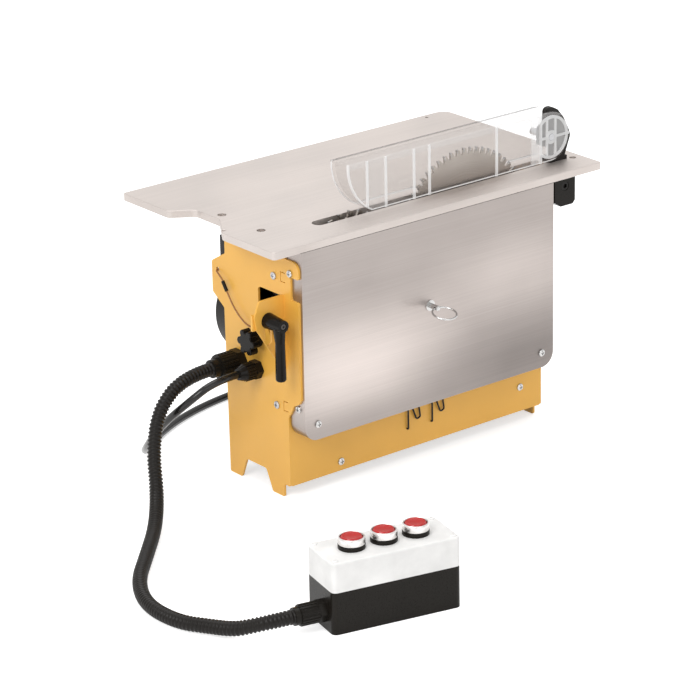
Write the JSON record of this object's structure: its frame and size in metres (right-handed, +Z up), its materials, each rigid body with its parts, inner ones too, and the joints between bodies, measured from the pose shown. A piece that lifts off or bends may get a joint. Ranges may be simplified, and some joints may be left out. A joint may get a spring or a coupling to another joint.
{
  "type": "double-blade table saw",
  "caption": "Bench table saw with a main blade and a scoring blade in one slot, clear hinged guard, lifting carriage, stainless side cover and a push-button box on a conduit.",
  "frame": {"origin": "centre of the footprint of the four sheet feet, on the floor", "axes": "+Z up, +X to the right along the blade slot, -Y to the front, where the stainless cover is"},
  "size_m": [0.7314, 0.6214, 0.3665],
  "materials": {
    "black_painted": "satin black",
    "black_painted_aluminium": "black paint on a cast shell",
    "black_plastic": "fine texture",
    "black_rubber": "satin",
    "blade_steel": "ground",
    "bright_steel": "polished",
    "cast_aluminium": "cast",
    "clear_plastic": "clear polycarbonate",
    "copper_wire": "brown insulation",
    "machined_steel": "machined",
    "painted_yellow": "satin powder coat",
    "red_plastic": "gloss",
    "stainless": "brushed along its length",
    "table_aluminium": "brushed",
    "white_plastic": "fine texture"
  },
  "bodies": {
    "machine": {"left_end_panel": "painted_yellow", "right_end_panel": "painted_yellow", "front_apron": "painted_yellow", "rear_panel": "black_painted", "table_plate": "table_aluminium", "side_cover": "stainless", "pan_head_screws": "bright_steel", "socket_screws": "black_painted", "stop_block": "black_plastic", "guard_post": "black_painted", "guard_pivot_pin": "machined_steel", "conduit_gland": "black_plastic", "lead_gland": "black_plastic", "control_conduit": "black_plastic", "mains_lead": "black_rubber", "lead_coil": "black_rubber", "mains_plug": "black_plastic", "earth_wire": "copper_wire", "earth_sleeve": "black_plastic", "box_base": "black_plastic", "box_lid": "white_plastic", "box_screws": "white_plastic", "box_gland": "black_plastic", "button_bezels": "stainless", "button_collars": "black_plastic", "contact_blocks": "black_plastic", "guide_rods": "machined_steel", "rod_brackets": "cast_aluminium", "apron_hooks": "black_painted", "catch_sleeve": "bright_steel"},
    "carriage": {"carriage_plate": "machined_steel", "bearing_housings": "cast_aluminium", "arbor_bearings": "machined_steel", "motor_housing": "black_painted_aluminium", "motor_end_cap": "black_painted_aluminium", "motor_stator": "machined_steel", "drive_belt": "black_rubber", "slide_bushes": "cast_aluminium", "clamp_arm": "painted_yellow", "lift_rack": "machined_steel"},
    "main_spindle": {"main_arbor": "machined_steel", "main_pulley": "cast_aluminium", "main_flanges": "machined_steel", "main_blade": "blade_steel"},
    "scoring_spindle": {"scoring_arbor": "machined_steel", "scoring_pulley": "cast_aluminium", "scoring_flanges": "machined_steel", "scoring_blade": "blade_steel"},
    "rotor": {"motor_rotor": "machined_steel", "motor_pulley": "cast_aluminium"},
    "guard": {"blade_guard": "clear_plastic"},
    "lever": {"clamp_lever": "black_plastic", "lever_stud": "machined_steel"},
    "knob": {"star_knob": "black_plastic", "pinion_shaft": "machined_steel"},
    "catch": {"catch_pin": "bright_steel"},
    "ring": {"pull_ring": "bright_steel"},
    "left_push": {"left_button": "red_plastic"},
    "middle_push": {"middle_button": "red_plastic"},
    "right_push": {"right_button": "red_plastic"}
  },
  "joints": [
    {"name": "lift", "type": "slide", "parent": "machine", "child": "carriage", "axis": [0, 0, 1], "range_m": [-0.024, 0.003]},
    {"name": "main_spin", "type": "hinge", "parent": "carriage", "child": "main_spindle", "pos_m": [0.085, -0.035, 0.249], "axis": [0, -1, 0], "continuous": true},
    {"name": "scoring_spin", "type": "hinge", "parent": "carriage", "child": "scoring_spindle", "pos_m": [-0.08, -0.035, 0.2505], "axis": [0, -1, 0], "continuous": true},
    {"name": "motor_spin", "type": "hinge", "parent": "carriage", "child": "rotor", "pos_m": [-0.082, 0, 0.154], "axis": [0, -1, 0], "continuous": true},
    {"name": "guard_hinge", "type": "hinge", "parent": "machine", "child": "guard", "pos_m": [0.2, -0.038, 0.3345], "axis": [0, 1, 0], "range_deg": [0, 75]},
    {"name": "lever_turn", "type": "hinge", "parent": "carriage", "child": "lever", "pos_m": [-0.206, -0.06, 0.214], "axis": [0, 1, 0], "range_deg": [0, 95]},
    {"name": "knob_turn", "type": "hinge", "parent": "machine", "child": "knob", "pos_m": [-0.2, -0.006, 0.1745], "axis": [-1, 0, 0], "range_deg": [-175, 25]},
    {"name": "catch_pull", "type": "slide", "parent": "machine", "child": "catch", "axis": [0, -1, 0], "range_m": [0, 0.008], "stiffness_N_per_m": 400, "springref_m": -0.004},
    {"name": "ring_swing", "type": "hinge", "parent": "catch", "child": "ring", "pos_m": [-0.004, -0.093, 0.19], "axis": [1, 0, 0], "range_deg": [-60, 76]},
    {"name": "left_push", "type": "slide", "parent": "machine", "child": "left_push", "axis": [0, 0, -1], "range_m": [0, 0.003], "stiffness_N_per_m": 900, "springref_m": -0.002},
    {"name": "middle_push", "type": "slide", "parent": "machine", "child": "middle_push", "axis": [0, 0, -1], "range_m": [0, 0.003], "stiffness_N_per_m": 900, "springref_m": -0.002},
    {"name": "right_push", "type": "slide", "parent": "machine", "child": "right_push", "axis": [0, 0, -1], "range_m": [0, 0.003], "stiffness_N_per_m": 900, "springref_m": -0.002}
  ],
  "couplings": [
    {"joint": "scoring_spin", "follows": "main_spin", "ratio": 1.4667},
    {"joint": "motor_spin", "follows": "main_spin", "ratio": 0.73333},
    {"joint": "knob_turn", "follows": "lift", "rad_per_m": 125}
  ]
}
